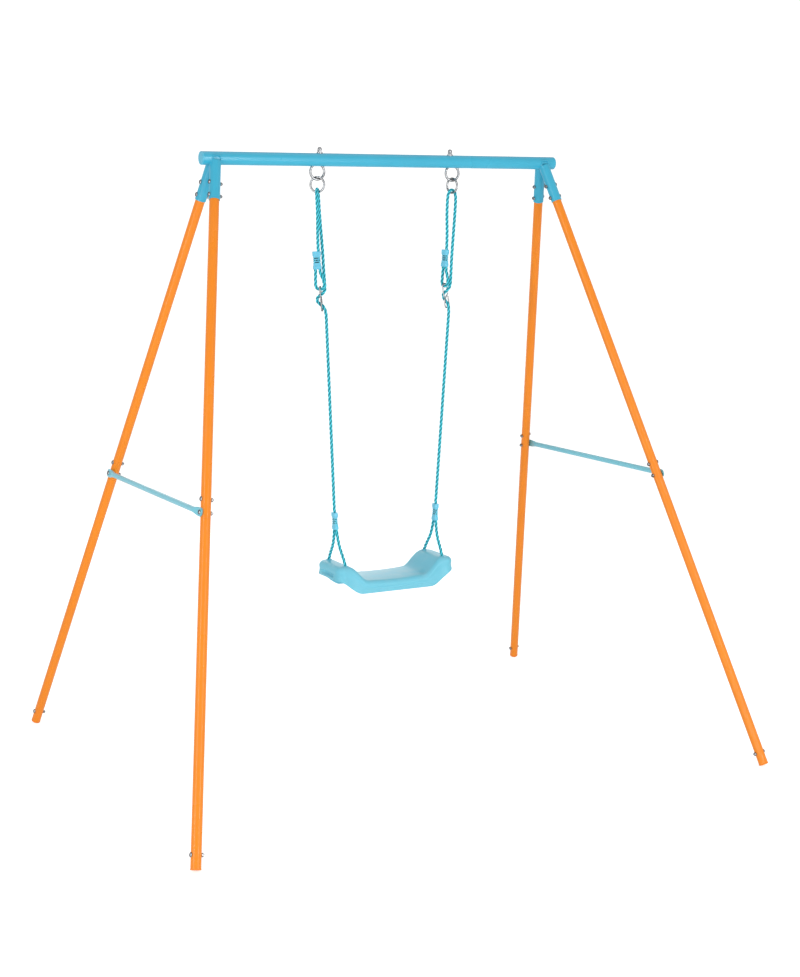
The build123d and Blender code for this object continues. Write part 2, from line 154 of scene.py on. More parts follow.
def build_mesh(name, sheets):
    """One smooth mesh from several grids of points, with a UV map of each grid's own 0 to 1."""
    verts, quads, uvs = [], [], []
    start = 0
    for points in sheets:
        rows, columns = points.shape[:2]
        faces, uv = grid_arrays(rows, columns, start)
        verts.append(points.reshape(-1, 3))
        quads.append(faces)
        uvs.append(uv)
        start += rows * columns
    verts, quads, uvs = np.concatenate(verts), np.concatenate(quads), np.concatenate(uvs)
    mesh = bpy.data.meshes.new(name)
    mesh.vertices.add(len(verts))
    mesh.vertices.foreach_set("co", verts.astype(np.float32).ravel())
    mesh.loops.add(quads.size)
    mesh.loops.foreach_set("vertex_index", quads.astype(np.int32).ravel())
    mesh.polygons.add(len(quads))
    mesh.polygons.foreach_set("loop_start", np.arange(0, quads.size, 4, dtype=np.int32))
    layer = mesh.uv_layers.new(name="surface")
    layer.data.foreach_set("uv", uvs.astype(np.float32).ravel())
    mesh.update(calc_edges=True)
    mesh.validate()
    mesh.shade_smooth()
    return mesh


def weld(mesh, distance=1e-5):
    """Merge the doubled points of poles and closed seams, then face everything outwards."""
    made = bmesh.new()
    made.from_mesh(mesh)
    bmesh.ops.remove_doubles(made, verts=made.verts, dist=distance)
    bmesh.ops.dissolve_degenerate(made, dist=distance, edges=made.edges)
    bmesh.ops.recalc_face_normals(made, faces=made.faces)
    made.to_mesh(mesh)
    made.free()
    mesh.update()
    return mesh


def carried_frames(path, reference=(0.7, 0.7, 0.1)):
    """Tangent and two side directions at each point, turned as little as possible along the path.

    The reference direction is laid square to the tangent, then its own turning about the
    path is summed along it and taken off again.
    """
    tangent = np.gradient(path, axis=0)
    tangent /= np.linalg.norm(tangent, axis=1)[:, None]
    reference = np.asarray(reference, float)
    side = reference - tangent * (tangent @ reference)[:, None]
    side /= np.linalg.norm(side, axis=1)[:, None]
    other = np.cross(tangent, side)
    step = np.einsum("ij,ij->i", np.diff(side, axis=0), (other[1:] + other[:-1]) / 2)
    turn = -np.concatenate([[0], np.cumsum(step)])
    cosine, sine = np.cos(turn)[:, None], np.sin(turn)[:, None]
    return tangent, side * cosine + other * sine, other * cosine - side * sine


def tube_points(path, radius, sides, outward=None):
    """Circle carried along the path, with both ends drawn to a point.

    The radius is a number, or one per point.  The circle starts at the outward direction of
    each point when there is one.
    """
    tangent, side, other = carried_frames(path)
    if outward is not None:
        side = outward - tangent * np.einsum("ij,ij->i", tangent, outward)[:, None]
        side /= np.linalg.norm(side, axis=1)[:, None]
        other = np.cross(tangent, side)
    radius = np.broadcast_to(radius, len(path))
    angle = np.linspace(0, 2 * np.pi, sides, endpoint=False)
    ring = side[:, None] * np.cos(angle)[None, :, None] + other[:, None] * np.sin(angle)[None, :, None]
    points = path[:, None] + ring * radius[:, None, None]
    first = np.repeat(path[:1, None], sides, axis=1)
    last = np.repeat(path[-1:, None], sides, axis=1)
    return np.concatenate([first, points, last])


def resample(path, step):
    """The same line at an even spacing."""
    run = np.linalg.norm(np.diff(path, axis=0), axis=1)
    along = np.concatenate([[0], np.cumsum(run)])
    even = np.linspace(0, along[-1], int(along[-1] / step) + 1)
    return np.stack([np.interp(even, along, path[:, axis]) for axis in range(3)], axis=1)


def spline_line(name, points, resolution=24):
    """Points along the NURBS line that has these control points."""
    curve = bpy.data.curves.new(name, "CURVE")
    curve.dimensions = "3D"
    curve.resolution_u = resolution
    spline = curve.splines.new("NURBS")
    spline.points.add(len(points) - 1)
    for slot, point in zip(spline.points, points):
        slot.co = (*point, 1)
    spline.order_u = 3
    spline.use_endpoint_u = True
    holder = bpy.data.objects.new(name, curve)
    mesh = bpy.data.meshes.new_from_object(holder)
    line = np.empty(len(mesh.vertices) * 3, np.float32)
    mesh.vertices.foreach_get("co", line)
    bpy.data.meshes.remove(mesh)
    bpy.data.objects.remove(holder)
    bpy.data.curves.remove(curve)
    return line.reshape(-1, 3).astype(float)


# ---------------------------------------------------------------------------
# Ropes
# ---------------------------------------------------------------------------

def rope_axes(side_name, origin, turn):
    """Axes of a rope that leans in from its ring to the seat, turned about itself."""
    side = SIDES[side_name]
    hang = Vector(joints["left_rope_swing"]["pos_m"])
    knee = Vector(joints["seat_tilt"]["pos_m"])
    up = (hang - knee).normalized()
    up.x *= -side
    across = Vector((up.z, 0, -up.x))
    turned = Matrix.Rotation(math.radians(turn), 3, up) @ across
    axes = Matrix((turned, up.cross(turned), up)).transposed().to_4x4()
    return Matrix.Translation((abs(origin[0]) * side, origin[1], origin[2])) @ axes


def placed(points, axes):
    """Points of a piece's own axes as an array in the shared frame."""
    turn = np.array(axes.to_3x3())
    return np.asarray(points, float) @ turn.T + np.array(axes.translation)


hang_point = joints["left_rope_swing"]["pos_m"]
knee_point = joints["seat_tilt"]["pos_m"]
ROPE_DROP = (Vector(hang_point) - Vector(knee_point)).length

# Corners of a main rope under its ring: ferrule, loop, back up, over the ring,
# down the standing strand, through the adjuster's two eyes and to the seat.
MAIN_ROUTE = [
    (-0.0040, 0.0169, -0.1780),
    (-0.0040, 0.0169, -0.2300),
    (-0.0040, 0.0190, -0.2546),
    (-0.0040, 0.0190, -0.2800),
    (-0.0040, -0.0064, -0.2800),
    (-0.0040, -0.0064, -0.2546),
    (-0.0040, 0.0061, -0.2300),
    (-0.0040, 0.0061, -0.1340),
    (-0.0170, 0.0000, -0.0620),
    (-0.0170, 0.0000, 0.0086),
    (0.0170, 0.0000, 0.0086),
    (0.0170, 0.0000, -0.0620),
    (0.0085, -0.0050, -0.1700),
    (0.0085, -0.0050, -0.2300),
    (0.0080, -0.0065, -0.2760),
    (0.0002, -0.0057, -0.2900),
    (0.0002, 0.0183, -0.3040),
    (0.0081, 0.0183, -0.3215),
    (0.0081, -0.0057, -0.3355),
    (0.0073, -0.0051, -0.3960),
    (0.0, 0.0, -ROPE_DROP),
]

# Corners of a bridle under the knee: out of the ferrule, down to the front
# hole, under the seat and up through the rear hole.
BRIDLE_ROUTE = [
    (0.0, -0.0054, -0.0100),
    (0.0, -0.0054, -0.0810),
    (0.0, -0.0575, -0.1482),
    (0.0, -0.0575, -0.1722),
    (0.0, 0.0575, -0.1722),
    (0.0, 0.0575, -0.1482),
    (0.0, 0.0054, -0.0810),
    (0.0, 0.0054, -0.0100),
]


def strand_sheets(path, diameter, lay, sides=16):
    """Round strands, each on a helix about the path; the lay is one full turn."""
    tangent, side, other = carried_frames(path)
    run = np.linalg.norm(np.diff(path, axis=0), axis=1)
    along = np.concatenate([[0], np.cumsum(run)])
    strand_radius = diameter * STRAND_SHARE
    helix_radius = diameter * 0.5 - strand_radius
    sheets = []
    for strand in range(STRANDS):
        angle = 2 * np.pi * (along / lay + strand / STRANDS)
        out = side * np.cos(angle)[:, None] + other * np.sin(angle)[:, None]
        line = path + out * helix_radius
        sheets.append(tube_points(line, strand_radius, sides, out))
    return sheets


def make_rope(name, body, route, axes):
    """A twisted rope along its route, with the map's second value in metres of rope over UV_SPAN."""
    line = spline_line(name, placed(route, axes))
    path = resample(line, 0.0012)
    mesh = build_mesh(name, strand_sheets(path, ROPE_DIA, ROPE_LAY))
    piece = add_object(name, mesh, body, "rope_fibre", name.replace("_twist", ""))
    length = float(np.linalg.norm(np.diff(path, axis=0), axis=1).sum())
    uv = np.empty(len(mesh.loops) * 2, np.float32)
    mesh.uv_layers[0].data.foreach_get("uv", uv)
    uv[1::2] *= length / UV_SPAN
    mesh.uv_layers[0].data.foreach_set("uv", uv)


for side_name in SIDES:
    hanger_axes = rope_axes(side_name, hang_point, ROPE_TURN[side_name])
    make_rope(f"{side_name}_main_rope_twist", f"{side_name}_rope", MAIN_ROUTE, hanger_axes)
    knee_axes = rope_axes(side_name, knee_point, 0)
    make_rope(f"{side_name}_bridle_rope_twist", "seat", BRIDLE_ROUTE, knee_axes)


# ---------------------------------------------------------------------------
# Moulded pieces
# ---------------------------------------------------------------------------

def rounded_outline(half_x, half_y, corner, arc_points, side_points):
    """A rounded rectangle as a fixed core plus its corner radius times an outward direction.

    Each corner is a quarter turn of the direction about its own core point; each side holds
    the direction still while the core moves from one corner to the next.
    """
    signs = np.array([(1, 1), (-1, 1), (-1, -1), (1, -1)], float)
    cores = signs * (half_x - corner, half_y - corner)
    starts = np.arange(4) * np.pi / 2
    arc = np.linspace(0, np.pi / 2, arc_points)
    along = np.linspace(0, 1, side_points + 2)[1:-1]
    angle = np.concatenate([np.concatenate([a + arc, np.full(side_points, a + np.pi / 2)]) for a in starts])
    core = np.concatenate([
        np.concatenate([np.repeat(here[None], arc_points, 0), here + along[:, None] * (there - here)])
        for here, there in zip(cores, np.roll(cores, -1, axis=0))
    ])
    return core, np.stack([np.cos(angle), np.sin(angle)], axis=1)


def smooth_step(value, low, high):
    share = np.clip((value - low) / (high - low), 0, 1)
    return share * share * (3 - 2 * share)


def seat_sheet(seat_box):
    """The moulded seat as one closed skin, from the middle of its top round to the middle of its hollow.

    Height of the top: flat wings outside 160 mm, an S-shaped fall to the dish inside 94 mm, and
    a dish that is deepest at its middle, by the square of the distance from there.  The rim
    turns over in a quarter circle.  The skirt drops with a shallow flute above a rolled lip,
    with a finger slot pressed low into each end, and its foot rises from the dish to the wings
    in another S.  The inner skin follows 3.5 mm inside.
    """
    low, high = seat_box
    half_x, half_y, top = high.x, high.y, high.z
    corner = 0.029
    core, out = rounded_outline(half_x, half_y, corner, 26, 48)
    wall = 0.0035
    turn = 0.015
    lip = 0.0012

    def surface(plan):
        reach = np.abs(plan[..., 0])
        dish = -0.048 + 0.005 * (reach / 0.108) ** 2
        rise = smooth_step(reach, 0.094, 0.160)
        crown = 0.0035 * (plan[..., 1] / half_y) ** 2 * (1 - rise)
        return top + dish * (1 - rise) - crown

    def skirt_foot(plan):
        reach = np.abs(plan[..., 0])
        return low.z + 0.0015 + 0.0435 * smooth_step(reach, 0.116, 0.199)

    def waist(plan):
        reach = np.abs(plan[..., 0])
        narrow = 0.025 * np.exp(-((reach - 0.152) / 0.018) ** 2)
        pulled = plan.copy()
        pulled[..., 1] *= 1 - narrow
        return pulled

    def ring(radius):
        return waist(core + out * radius)

    def finger_slot(share):
        long = np.exp(-(core[:, 1] / 0.036) ** 6) * smooth_step(np.abs(out[:, 0]), 0.9, 0.99)
        return (0.0085 * long * math.exp(-((share - 0.56) / 0.23) ** 4))[:, None]

    rows = []
    edge = ring(corner - turn - lip)
    for share in np.linspace(0, 1, 30):
        plan = edge * share
        rows.append(np.column_stack([plan, surface(plan)]))
    rim = surface(edge)
    for angle in np.linspace(0, np.pi / 2, 9)[1:]:
        plan = ring(corner - turn - lip + turn * np.sin(angle))
        rows.append(np.column_stack([plan, rim - turn * (1 - np.cos(angle))]))
    upper = rim - turn
    plan = ring(corner - lip)
    foot = skirt_foot(plan)
    for share in np.linspace(0, 1, 18)[1:]:
        flute = -0.0012 * np.sin(np.pi * np.clip(share / 0.72, 0, 1)) ** 2
        flare = lip * smooth_step(share, 0.70, 0.90)
        plan = ring(corner - lip + flute + flare - finger_slot(share))
        rows.append(np.column_stack([plan, upper + (foot - upper) * share]))
    for angle in np.linspace(0, np.pi, 7)[1:]:
        half = (wall + lip) / 2
        plan = ring(corner - half + half * np.cos(angle))
        rows.append(np.column_stack([plan, foot - 0.0015 * np.sin(angle)]))
    inner = corner - wall - lip
    for share in np.linspace(1, 0, 18)[1:]:
        plan = ring(inner - finger_slot(share))
        rows.append(np.column_stack([plan, upper - wall + (foot - upper + wall) * share]))
    edge = ring(inner - turn * 0.5)
    for share in np.linspace(1, 0, 22):
        plan = edge * share
        rows.append(np.column_stack([plan, surface(plan) - wall]))
    return np.stack(rows)


def make_seat():
    mesh = build_mesh("moulded_seat", [seat_sheet(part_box("seat"))])
    add_object("moulded_seat", weld(mesh), "seat", "seat_plastic", "seat")


def ferrule_sheet():
    """Ribbed clamp down from its own top: a wide collar, a waist with three cut grooves and a foot ring."""
    corner, length = 0.005, FERRULE_LENGTH
    core, out = rounded_outline(*FERRULE_HALF, corner, 9, 5)
    level = np.linspace(0, length, FERRULE_LEVELS)
    collar = smooth_step(level, 0.0125, 0.0140) * (1 - smooth_step(level, 0.0400, 0.0430))
    inset = 0.0013 * collar
    first, last = FERRULE_GROOVES
    phase = (level - first) / (last - first) * 3
    inside = (phase > 0) & (phase < 3)
    groove = np.clip(1.6 * np.sin(np.pi * np.clip((phase % 1) * 1.8, 0, 1)), 0, 1) * inside
    inset = inset + 0.0020 * groove
    rounding = 0.0012
    for distance in (level, length - level):
        near = np.clip(1 - distance / rounding, 0, 1)
        inset = inset + rounding * (1 - np.sqrt(1 - near ** 2))
    body = core[None] + out[None] * (corner - inset)[:, None, None]
    body = np.concatenate([body, np.repeat(-level[:, None, None], len(core), axis=1)], axis=2)
    shares = np.linspace(0, 1, FERRULE_CAP_ROWS + 1)[:-1, None, None]
    flat = np.zeros((FERRULE_CAP_ROWS, len(core), 1))
    top = np.concatenate([body[:1, :, :2] * shares, flat], axis=2)
    foot = np.concatenate([body[-1:, :, :2] * shares[::-1], flat - length], axis=2)
    return np.concatenate([top, body, foot])


def make_ferrules():
    sheet = ferrule_sheet()
    for side_name in SIDES:
        upper = rope_axes(side_name, hang_point, ROPE_TURN[side_name])
        spot = upper @ Matrix.Translation(UPPER_FERRULE)
        lower = rope_axes(side_name, knee_point, 0)
        for level, axes, body in (("upper", spot, f"{side_name}_rope"), ("lower", lower, "seat")):
            name = f"{side_name}_{level}_ferrule"
            mesh = weld(build_mesh(name + "_clamp", [placed(sheet, axes)]))
            add_object(name + "_clamp", mesh, body, "ferrule_plastic", name)


make_seat()
make_ferrules()


# ---------------------------------------------------------------------------
# Frame details: welds, bolts and nuts
# ---------------------------------------------------------------------------

beam_low, beam_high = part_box("top_beam")
BEAM_Z = (beam_low.z + beam_high.z) / 2
BEAM_RADIUS = (beam_high.z - beam_low.z) / 2
mounts = {mount["name"]: mount for mount in frame["record"]["mounts"]}


def leg_axes(side_name, face_name):
    """Z runs down the leg from the beam's height and X points outwards along its bolts."""
    mount = mounts[f"{face_name}_{side_name}_foot"]
    foot, down = Vector(mount["pos_m"]), Vector(mount["axis"]).normalized()
    reach = (foot.z - BEAM_Z) / down.z
    top = foot - down * reach
    out = Vector((-down.z * SIDES[side_name], 0, abs(down.x))).normalized()
    axes = Matrix((out, down.cross(out), down)).transposed().to_4x4()
    return Matrix.Translation(top) @ axes, reach


def revolved(profile, sides):
    """(radius, height) pairs turned about Z, as rows from the first pair to the last."""
    profile = np.asarray(profile, float)
    angle = np.linspace(0, 2 * np.pi, sides, endpoint=False)
    radius, height = profile[:, :1], profile[:, 1:]
    return np.stack([radius * np.cos(angle), radius * np.sin(angle), height + 0 * angle], axis=2)


def hexagon(profile, flats, sides=60):
    """(radius, height) pairs turned about Z, but never further out than a hexagon across its flats."""
    profile = np.asarray(profile, float)
    angle = np.linspace(0, 2 * np.pi, sides, endpoint=False)
    limit = flats / 2 / np.cos((angle + np.pi / 6) % (np.pi / 3) - np.pi / 6)
    radius = np.minimum(profile[:, :1], limit)
    return np.stack([radius * np.cos(angle), radius * np.sin(angle), profile[:, 1:] + 0 * angle], axis=2)


def turned_to_x(points, start, direction):
    """A piece made along Z, laid along the local X line from start, pointing along plus or minus X."""
    x = start + direction * points[..., 2]
    return np.stack([x, points[..., 0], direction * points[..., 1]], axis=-1)


def bolt_sheet(length):
    """Domed head, then a shank with thread ridges cut as a fine saw of the radius over its last half."""
    angle = np.linspace(0, 1, 9)
    head = [(0.0065 * np.sin(a * np.pi / 2), 0.0042 - 0.0034 * (1 - np.cos(a * np.pi / 2))) for a in angle]
    head += [(0.0065, 0.0004), (0.0061, 0.0), (0.0030, 0.0)]
    level = np.linspace(0.0005, length - 0.0008, 96)
    cut = 0.00022 * (np.abs((level / 0.001) % 1 - 0.5) * 2) * (level > length - 0.020)
    shank = np.column_stack([0.0030 - cut, -level])
    tip = [(0.0024, -length), (0.0, -length)]
    return revolved(np.concatenate([head, shank, tip]), 24)


def nut_sheet():
    """Hexagon nut, both faces chamfered to a cone, with a countersunk bore."""
    flats, height, bore = 0.010, 0.005, 0.00305
    widest = flats / 2 / math.cos(math.pi / 6)
    sink, chamfer, face = 0.0006, 0.0008, flats / 2 * 0.97
    profile = [
        (bore, sink), (bore + 0.0005, 0.0), (face, 0.0), (widest, chamfer),
        (widest, height - chamfer), (face, height), (bore + 0.0005, height), (bore, height - sink),
        (bore, sink),
    ]
    return hexagon(profile, flats)


def make_fasteners():
    """The same bolt and nut at each station of the four legs; only the brace bolts stand further out."""
    at_socket, at_leg = SOCKET_RADIUS + FASTENER_GAP, LEG_RADIUS + FASTENER_GAP
    over_brace = at_leg + BRACE_TAB + FASTENER_GAP
    for name, stations, heads, nut_at in (
        ("socket", (0.075, 0.113), (at_socket, at_socket), at_socket),
        ("leg_joint", (0.988, 1.025), (at_leg, over_brace), at_leg),
        ("foot", (-0.038,), (at_leg,), at_leg),
    ):
        bolts, nuts = [], []
        for side_name in SIDES:
            for face_name in FACES:
                axes, reach = leg_axes(side_name, face_name)
                for station, head in zip(stations, heads):
                    along = station if station > 0 else reach + station
                    spot = axes @ Matrix.Translation((0, 0, along))
                    shape = bolt_sheet(head + nut_at + 0.0075)
                    bolts.append(placed(turned_to_x(shape, head, 1), spot))
                    nuts.append(placed(turned_to_x(nut_sheet(), -nut_at, -1), spot))
        bolt_mesh = weld(build_mesh(name + "_domed_bolts", bolts))
        nut_mesh = weld(build_mesh(name + "_hex_nuts", nuts))
        for mesh in (bolt_mesh, nut_mesh):
            mesh.set_sharp_from_angle(angle=math.radians(32))
        add_object(bolt_mesh.name, bolt_mesh, "frame", "zinc_steel", name + "_bolts")
        add_object(nut_mesh.name, nut_mesh, "frame", "zinc_steel", name + "_nuts")


def make_welds():
    """A rippled bead where each socket meets the beam.

    A point of the socket's wall at angle a lies on a line down the leg; the bead is where that
    line leaves the beam's cylinder, found from the quadratic for its distance to the beam axis.
    """
    beads = []
    angle = np.linspace(0, 2 * np.pi, 400, endpoint=False)
    circle = SOCKET_RADIUS * np.stack([np.cos(angle), np.sin(angle), 0 * angle], axis=1)
    for side_name in SIDES:
        for face_name, face in FACES.items():
            axes, _ = leg_axes(side_name, face_name)
            start = placed(circle, axes)
            down = np.array(axes.to_3x3())[:, 2]
            y, z = start[:, 1], start[:, 2] - BEAM_Z
            a = down[1] ** 2 + down[2] ** 2
            b = y * down[1] + z * down[2]
            c = y ** 2 + z ** 2 - (BEAM_RADIUS + 0.0004) ** 2
            run = (-b + np.sqrt(np.maximum(b * b - a * c, 0))) / a
            seam = start + run[:, None] * down
            keep = seam[:, 1] * face > 0.0006
            first = int(np.argmax(keep & ~np.roll(keep, 1)))
            seam = np.roll(seam, -first, axis=0)[: int(keep.sum())]
            seam = resample(seam, 0.0006)
            count = np.arange(len(seam))
            ends = np.minimum(count, count[::-1]) / 6
            width = 0.0019 * (1 + 0.10 * np.sin(count * 1.9)) * np.clip(ends + 0.3, 0, 1)
            beads.append(tube_points(seam, width, 10))
    mesh = weld(build_mesh("socket_welds", beads))
    add_object("socket_welds", mesh, "frame", "beam_paint")


make_fasteners()
make_welds()


# ---------------------------------------------------------------------------
# Node groups shared by the finishes
# ---------------------------------------------------------------------------

def new_group(name, inputs, outputs):
    """An empty shader group; inputs are (name, kind, value), outputs are (name, kind)."""
    group = bpy.data.node_groups.new(name, "ShaderNodeTree")
    for label, kind, value in inputs:
        socket = group.interface.new_socket(name=label, in_out="INPUT", socket_type=kind)
        if value is not None:
            socket.default_value = value
    for label, kind in outputs:
        group.interface.new_socket(name=label, in_out="OUTPUT", socket_type=kind)
    return group, group.nodes.new("NodeGroupInput"), group.nodes.new("NodeGroupOutput")


def wire(tree, *pairs):
    for source, target in pairs:
        tree.links.new(source, target)


def node(tree, kind, **values):
    """A new node with its settings, or its input values, given by name."""
    made = tree.nodes.new(kind)
    for key, value in values.items():
        if hasattr(made, key):
            setattr(made, key, value)
        else:
            made.inputs[key.replace("_", " ")].default_value = value
    return made


def peel_group():
    """Fine waviness of sprayed and baked powder: two noises, a broad one and a small one."""
    group, given, put = new_group(
        "powder_peel",
        [("Vector", "NodeSocketVector", None), ("Size", "NodeSocketFloat", 0.004)],
        [("Height", "NodeSocketFloat"), ("Mottle", "NodeSocketFloat")],
    )
    scale = node(group, "ShaderNodeMath", operation="DIVIDE")
    scale.inputs[0].default_value = 1.0
    broad = node(group, "ShaderNodeTexNoise", Detail=2.0)
    fine = node(group, "ShaderNodeTexNoise", Detail=3.0)
    finer = node(group, "ShaderNodeMath", operation="MULTIPLY")
    finer.inputs[1].default_value = 3.7
    mix = node(group, "ShaderNodeMath", operation="MULTIPLY_ADD")
    mix.inputs[1].default_value = 0.35
    mottle = node(group, "ShaderNodeTexNoise", Scale=5.0, Detail=4.0)
    wire(
        group,
        (given.outputs["Size"], scale.inputs[1]),
        (given.outputs["Vector"], broad.inputs["Vector"]),
        (given.outputs["Vector"], fine.inputs["Vector"]),
        (given.outputs["Vector"], mottle.inputs["Vector"]),
        (scale.outputs[0], broad.inputs["Scale"]),
        (scale.outputs[0], finer.inputs[0]),
        (finer.outputs[0], fine.inputs["Scale"]),
        (fine.outputs["Fac"], mix.inputs[0]),
        (broad.outputs["Fac"], mix.inputs[2]),
        (mix.outputs[0], put.inputs["Height"]),
        (mottle.outputs["Fac"], put.inputs["Mottle"]),
    )
    return group


def dust_group():
    """A thin settled film: stronger on faces that look up, broken by a noise."""
    group, given, put = new_group(
        "settled_dust",
        [("Vector", "NodeSocketVector", None), ("Amount", "NodeSocketFloat", 0.2)],
        [("Mask", "NodeSocketFloat")],
    )
    geometry = node(group, "ShaderNodeNewGeometry")
    split = node(group, "ShaderNodeSeparateXYZ")
    facing = node(group, "ShaderNodeMapRange")
    facing.inputs["From Min"].default_value = 0.1
    facing.inputs["From Max"].default_value = 1.0
    patch = node(group, "ShaderNodeTexNoise", Scale=26.0, Detail=6.0)
    broken = node(group, "ShaderNodeMapRange")
    broken.inputs["From Min"].default_value = 0.42
    broken.inputs["From Max"].default_value = 0.68
    both = node(group, "ShaderNodeMath", operation="MULTIPLY")
    amount = node(group, "ShaderNodeMath", operation="MULTIPLY")
    wire(
        group,
        (geometry.outputs["Normal"], split.inputs[0]),
        (split.outputs["Z"], facing.inputs["Value"]),
        (given.outputs["Vector"], patch.inputs["Vector"]),
        (patch.outputs["Fac"], broken.inputs["Value"]),
        (facing.outputs["Result"], both.inputs[0]),
        (broken.outputs["Result"], both.inputs[1]),
        (both.outputs[0], amount.inputs[0]),
        (given.outputs["Amount"], amount.inputs[1]),
        (amount.outputs[0], put.inputs["Mask"]),
    )
    return group


POWDER_PEEL = peel_group()
SETTLED_DUST = dust_group()


# ---------------------------------------------------------------------------
# Finishes
# ---------------------------------------------------------------------------

def new_finish(name):
    material = bpy.data.materials.new(name)
    material.use_nodes = True
    tree = material.node_tree
    shader = tree.nodes["Principled BSDF"]
    return material, tree, shader


def grouped(tree, group, vector, **values):
    made = node(tree, "ShaderNodeGroup", node_tree=group)
    wire(tree, (vector, made.inputs["Vector"]))
    for key, value in values.items():
        made.inputs[key].default_value = value
    return made


def ranged(tree, source, low, high):
    """A noise's middle spread, 0.3 to 0.7, stretched to run from low to high."""
    spread = node(tree, "ShaderNodeMapRange")
    spread.inputs["From Min"].default_value = 0.3
    spread.inputs["From Max"].default_value = 0.7
    spread.inputs["To Min"].default_value = low
    spread.inputs["To Max"].default_value = high
    wire(tree, (source, spread.inputs["Value"]))
    return spread.outputs["Result"]


def mixed(tree, factor, first, second):
    """A colour between two; each is a socket or a fixed colour, and the factor is a socket."""
    blend = node(tree, "ShaderNodeMix", data_type="RGBA")
    for socket, value in ((blend.inputs["A"], first), (blend.inputs["B"], second)):
        if isinstance(value, bpy.types.NodeSocket):
            wire(tree, (value, socket))
        else:
            socket.default_value = (*value, 1)
    wire(tree, (factor, blend.inputs["Factor"]))
    return blend.outputs["Result"]


def bumped(tree, shader, height, strength, distance):
    bump = node(tree, "ShaderNodeBump", Strength=strength, Distance=distance)
    wire(tree, (height, bump.inputs["Height"]), (bump.outputs["Normal"], shader.inputs["Normal"]))


def powder_paint(name, colour, deep):
    """Gloss powder coat: slight peel, a breath of colour mottle and a thin film of dust on top faces."""
    material, tree, shader = new_finish(name)
    place = node(tree, "ShaderNodeTexCoord").outputs["Object"]
    peel = grouped(tree, POWDER_PEEL, place, Size=0.0035)
    dust = grouped(tree, SETTLED_DUST, place, Amount=0.04)
    body = mixed(tree, ranged(tree, peel.outputs["Mottle"], 0.0, 1.0), colour, deep)
    dusty = mixed(tree, dust.outputs["Mask"], body, (0.62, 0.60, 0.56))
    wire(tree, (dusty, shader.inputs["Base Color"]))
    wire(tree, (ranged(tree, peel.outputs["Mottle"], 0.25, 0.33), shader.inputs["Roughness"]))
    bumped(tree, shader, peel.outputs["Height"], 0.22, 0.00025)
    shader.inputs["Coat Weight"].default_value = 0.25
    shader.inputs["Coat Roughness"].default_value = 0.09
    shader.inputs["Specular IOR Level"].default_value = 0.36
    return material


def groove_shade_mask(tree):
    """Painted shade in the three cut grooves of a ferrule, counted along its own length from the map of its
    skin.
    """
    split = node(tree, "ShaderNodeSeparateXYZ")
    wire(tree, (node(tree, "ShaderNodeTexCoord").outputs["UV"], split.inputs[0]))
    count = node(tree, "ShaderNodeMapRange", clamp=False)
    rows = FERRULE_LEVELS + 2 * FERRULE_CAP_ROWS - 1
    to_row = (FERRULE_LEVELS - 1) / FERRULE_LENGTH
    first, last = ((FERRULE_CAP_ROWS + to_row * level) / rows for level in FERRULE_GROOVES)
    for label, value in (("From Min", first), ("From Max", last), ("To Max", 6 * math.pi)):
        count.inputs[label].default_value = value
    wave = node(tree, "ShaderNodeMath", operation="SINE")
    cut = node(tree, "ShaderNodeMapRange")
    cut.inputs["From Min"].default_value = -0.25
    cut.inputs["From Max"].default_value = 0.15
    inside = node(tree, "ShaderNodeMath", operation="COMPARE")
    inside.inputs[1].default_value = first + (last - first) * 5 / 12
    inside.inputs[2].default_value = (last - first) * 0.4325
    both = node(tree, "ShaderNodeMath", operation="MULTIPLY")
    wire(
        tree,
        (split.outputs["Y"], count.inputs["Value"]),
        (count.outputs["Result"], wave.inputs[0]),
        (wave.outputs[0], cut.inputs["Value"]),
        (split.outputs["Y"], inside.inputs[0]),
        (cut.outputs["Result"], both.inputs[0]),
        (inside.outputs[0], both.inputs[1]),
    )
    return both.outputs[0]


def moulded_plastic(name, colour, deep, roughness, grain, depth, milky=0.0, grooves=False):
    """Injection-moulded plastic: spark-eroded grain, faint flow mottle, a little light let in, and on a
    ferrule painted shade darkening its grooves.
    """
    material, tree, shader = new_finish(name)
    place = node(tree, "ShaderNodeTexCoord").outputs["Object"]
    peel = grouped(tree, POWDER_PEEL, place, Size=grain)
    dust = grouped(tree, SETTLED_DUST, place, Amount=0.12)
    body = mixed(tree, ranged(tree, peel.outputs["Mottle"], 0.0, 1.0), colour, deep)
    if grooves:
        # painted shade: the ferrule's cut grooves are coloured dark teal
        body = mixed(tree, groove_shade_mask(tree), body, (0.0015, 0.06, 0.085))
    dusty = mixed(tree, dust.outputs["Mask"], body, (0.66, 0.66, 0.64))
    wire(tree, (dusty, shader.inputs["Base Color"]))
    dull = ranged(tree, peel.outputs["Mottle"], roughness - 0.04, roughness + 0.06)
    wire(tree, (dull, shader.inputs["Roughness"]))
    bumped(tree, shader, peel.outputs["Height"], 0.35, depth)
    if milky:
        shader.inputs["Subsurface Weight"].default_value = milky
        shader.inputs["Subsurface Radius"].default_value = (0.6, 1.0, 1.0)
        shader.inputs["Subsurface Scale"].default_value = 0.003
    return material


